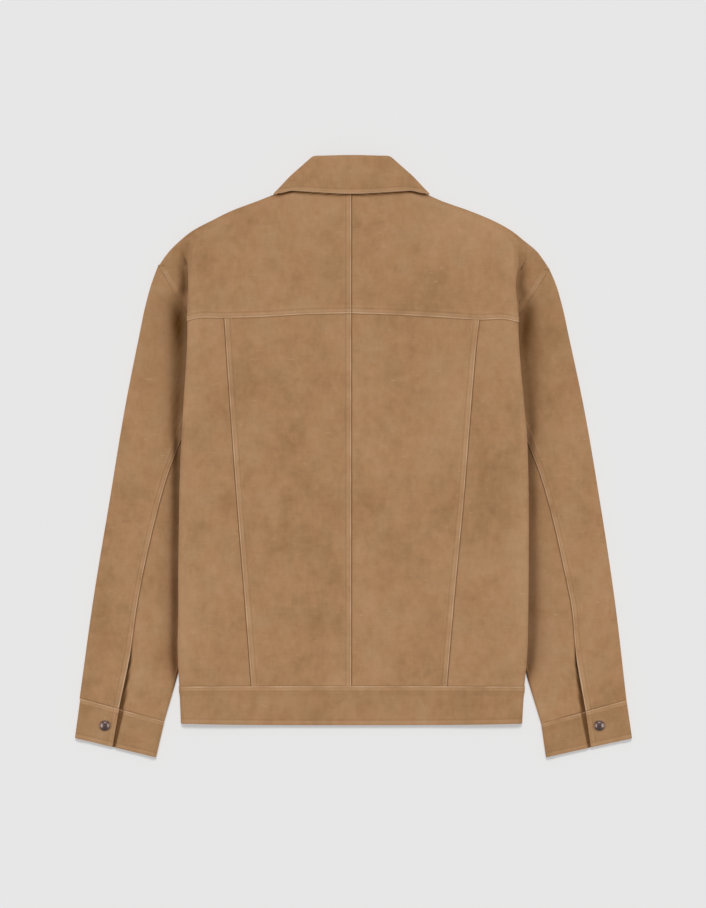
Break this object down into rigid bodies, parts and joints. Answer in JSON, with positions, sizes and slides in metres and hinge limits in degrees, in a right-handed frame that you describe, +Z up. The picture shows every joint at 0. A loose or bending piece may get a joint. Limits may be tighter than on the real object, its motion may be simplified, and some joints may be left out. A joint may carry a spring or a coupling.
{
  "type": "jacket",
  "caption": "Waist-length suede trucker jacket lying flat on its front: pointed collar, shoulder yoke, seamed back panels, waistband, and long sleeves with snapped cuffs.",
  "frame": {"origin": "centre of the jacket's outline, on the surface it lies on", "axes": "+Y from the hem to the collar, +X towards the wearer's right, +Z up out of the jacket's back"},
  "size_m": [0.6954, 0.7514, 0.0191],
  "materials": {
    "suede": "napped, matte",
    "snap_metal": "gunmetal, satin"
  },
  "bodies": {
    "root": {"yoke_left": "suede", "yoke_right": "suede", "back_left": "suede", "back_right": "suede", "side_back_left": "suede", "side_back_right": "suede", "front_left": "suede", "front_right": "suede", "waistband_front_left": "suede", "waistband_front_right": "suede", "sleeve_upper_left": "suede", "sleeve_upper_right": "suede", "sleeve_under_left": "suede", "sleeve_under_right": "suede", "cuff_left": "suede", "cuff_right": "suede", "waistband_back": "suede", "collar_fall": "suede", "collar_stand": "suede", "snap_left": "snap_metal", "snap_right": "snap_metal"}
  },
  "joints": []
}
